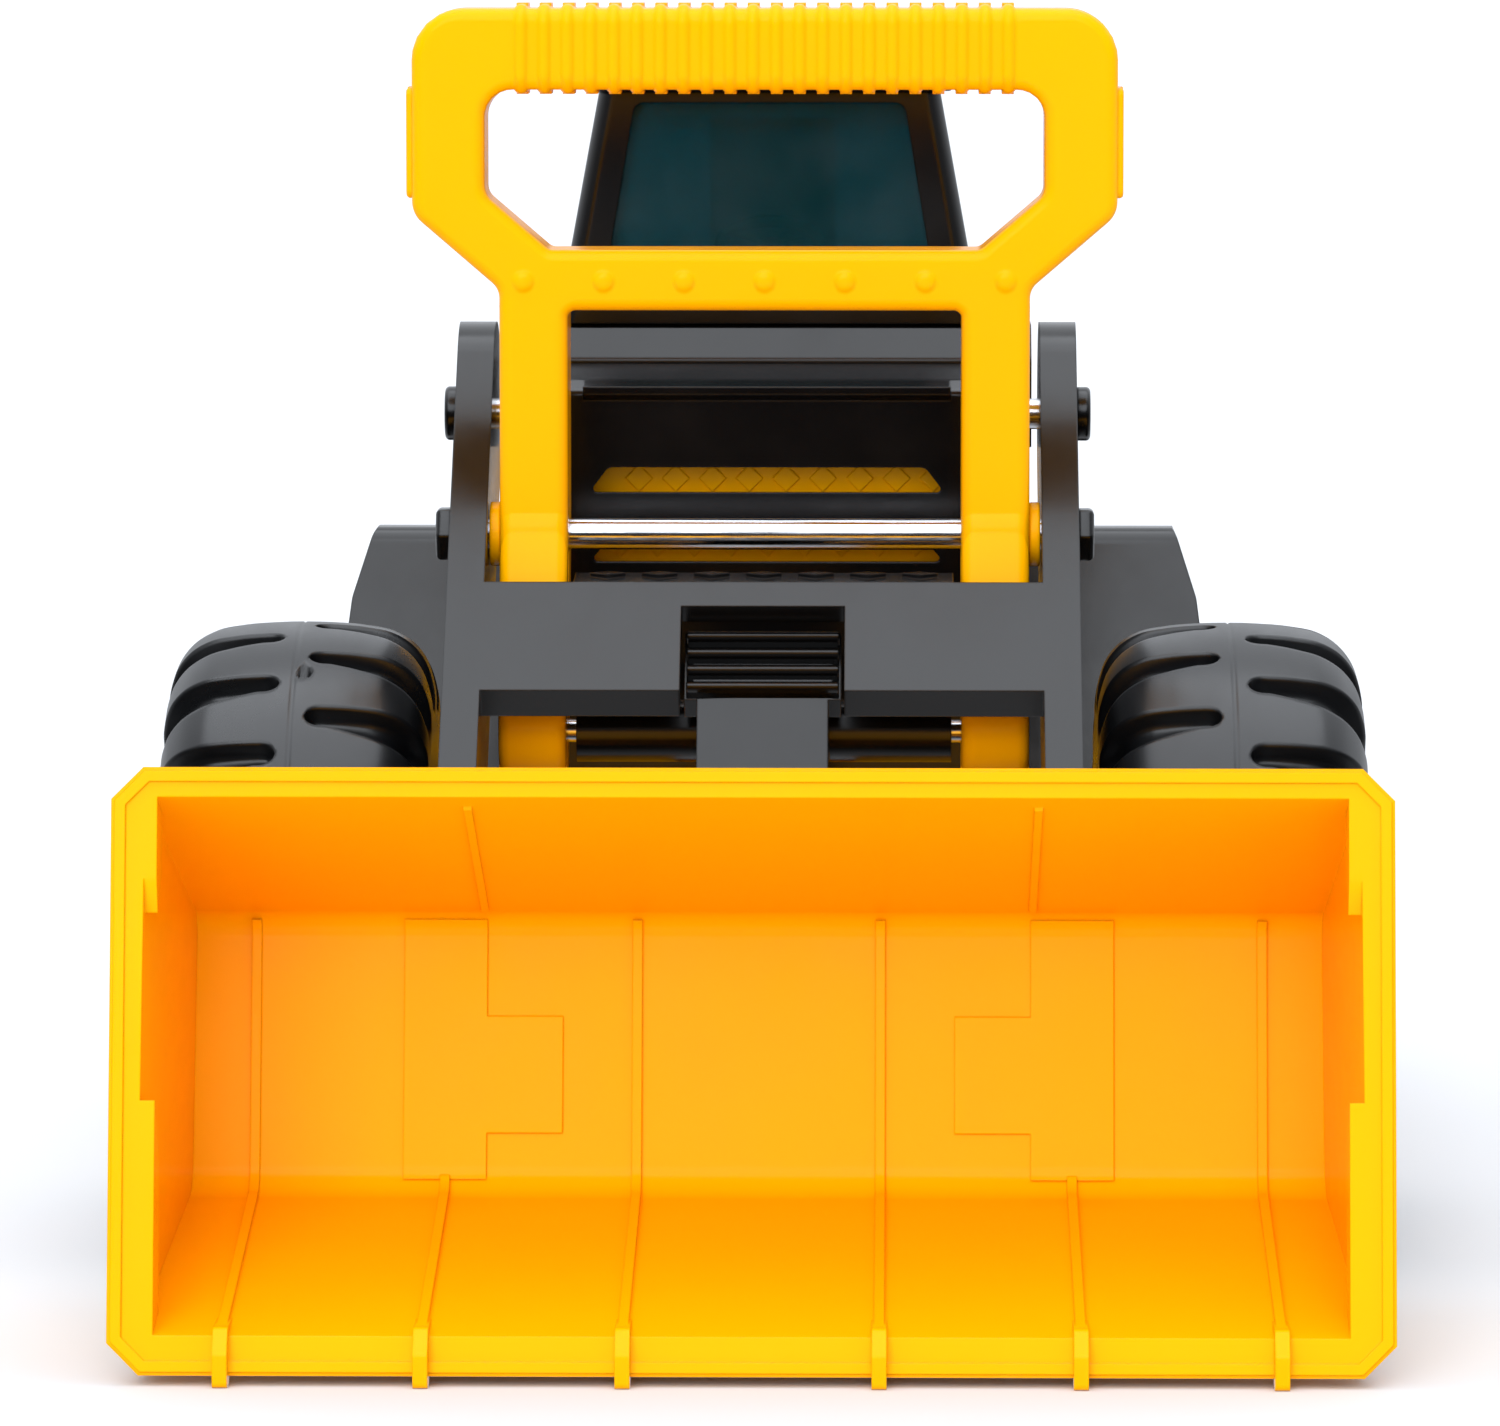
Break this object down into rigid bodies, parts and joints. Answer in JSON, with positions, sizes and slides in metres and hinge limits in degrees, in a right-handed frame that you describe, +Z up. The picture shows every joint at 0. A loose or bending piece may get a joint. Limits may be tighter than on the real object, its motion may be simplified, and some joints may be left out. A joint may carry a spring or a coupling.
{
  "type": "toy front loader",
  "caption": "Toy front loader with a wide tilting bucket, lifting boom, carry-handle lever, cab with tinted glazing and rolling wheels.",
  "frame": {"origin": "on the floor, under the middle of the whole loader", "axes": "+X sideways, -Y towards the bucket's mouth, +Z up"},
  "size_m": [0.306, 0.608, 0.3173],
  "materials": {
    "yellow_plastic": "glossy injection moulded",
    "black_plastic": "glossy injection moulded",
    "tyre_plastic": "semi-gloss blow moulded",
    "orange_plastic": "glossy",
    "tinted_glazing": "dark teal tint",
    "steel": "bright plated"
  },
  "bodies": {
    "chassis": {"chassis_frame": "yellow_plastic", "belly_plate": "black_plastic", "belly_screws": "steel", "front_tower": "black_plastic", "cab_base": "black_plastic", "cab_frame": "black_plastic", "cab_glazing": "tinted_glazing", "cab_roof": "black_plastic", "seat": "black_plastic", "dashboard": "black_plastic", "steering_column": "black_plastic", "steering_wheel": "orange_plastic", "engine_hood": "yellow_plastic", "hood_vents": "black_plastic", "rear_grille": "black_plastic", "rear_bumper": "black_plastic", "left_rear_fender": "black_plastic", "right_rear_fender": "black_plastic", "boom_rod": "steel", "boom_rod_caps": "black_plastic", "front_axle": "steel", "rear_axle": "steel", "front_axle_nuts": "steel", "rear_axle_nuts": "steel"},
    "boom": {"boom_frame": "black_plastic", "lever_rod": "steel", "lever_rod_caps": "black_plastic", "bucket_pivot_pins": "steel", "bucket_pin_caps": "black_plastic"},
    "lever": {"lever_front_shell": "yellow_plastic", "lever_rear_shell": "yellow_plastic", "lever_screws": "steel", "lever_bushes": "yellow_plastic", "link_top_pin": "steel"},
    "link": {"tilt_link": "black_plastic"},
    "bucket": {"bucket_shell": "yellow_plastic", "link_foot_pin": "steel"},
    "front_left_wheel": {"front_left_tyre": "tyre_plastic", "front_left_rim": "yellow_plastic", "front_left_hub_cap": "black_plastic"},
    "front_right_wheel": {"front_right_tyre": "tyre_plastic", "front_right_rim": "yellow_plastic", "front_right_hub_cap": "black_plastic"},
    "rear_left_wheel": {"rear_left_tyre": "tyre_plastic", "rear_left_rim": "yellow_plastic", "rear_left_hub_cap": "black_plastic"},
    "rear_right_wheel": {"rear_right_tyre": "tyre_plastic", "rear_right_rim": "yellow_plastic", "rear_right_hub_cap": "black_plastic"}
  },
  "joints": [
    {"name": "boom_lift", "type": "hinge", "parent": "chassis", "child": "boom", "pos_m": [0, -0.032, 0.21], "axis": [-1, 0, 0], "range_deg": [0, 35]},
    {"name": "bucket_tilt", "type": "hinge", "parent": "boom", "child": "bucket", "pos_m": [0, -0.148, 0.075], "axis": [1, 0, 0], "range_deg": [-20, 55]},
    {"name": "lever_tilt", "type": "hinge", "parent": "boom", "child": "lever", "pos_m": [0, -0.078, 0.182], "axis": [1, 0, 0], "range_deg": [-20, 55]},
    {"name": "link_swing", "type": "hinge", "parent": "lever", "child": "link", "pos_m": [0, -0.093, 0.133], "axis": [1, 0, 0], "range_deg": [-55, 20]},
    {"name": "front_left_wheel_spin", "type": "hinge", "parent": "chassis", "child": "front_left_wheel", "pos_m": [0, -0.065, 0.079], "axis": [1, 0, 0], "continuous": true},
    {"name": "front_right_wheel_spin", "type": "hinge", "parent": "chassis", "child": "front_right_wheel", "pos_m": [0, -0.065, 0.079], "axis": [1, 0, 0], "continuous": true},
    {"name": "rear_left_wheel_spin", "type": "hinge", "parent": "chassis", "child": "rear_left_wheel", "pos_m": [0, 0.175, 0.079], "axis": [1, 0, 0], "continuous": true},
    {"name": "rear_right_wheel_spin", "type": "hinge", "parent": "chassis", "child": "rear_right_wheel", "pos_m": [0, 0.175, 0.079], "axis": [1, 0, 0], "continuous": true}
  ],
  "couplings": [
    {"joint": "lever_tilt", "follows": "bucket_tilt", "ratio": 1},
    {"joint": "link_swing", "follows": "bucket_tilt", "ratio": -1}
  ]
}
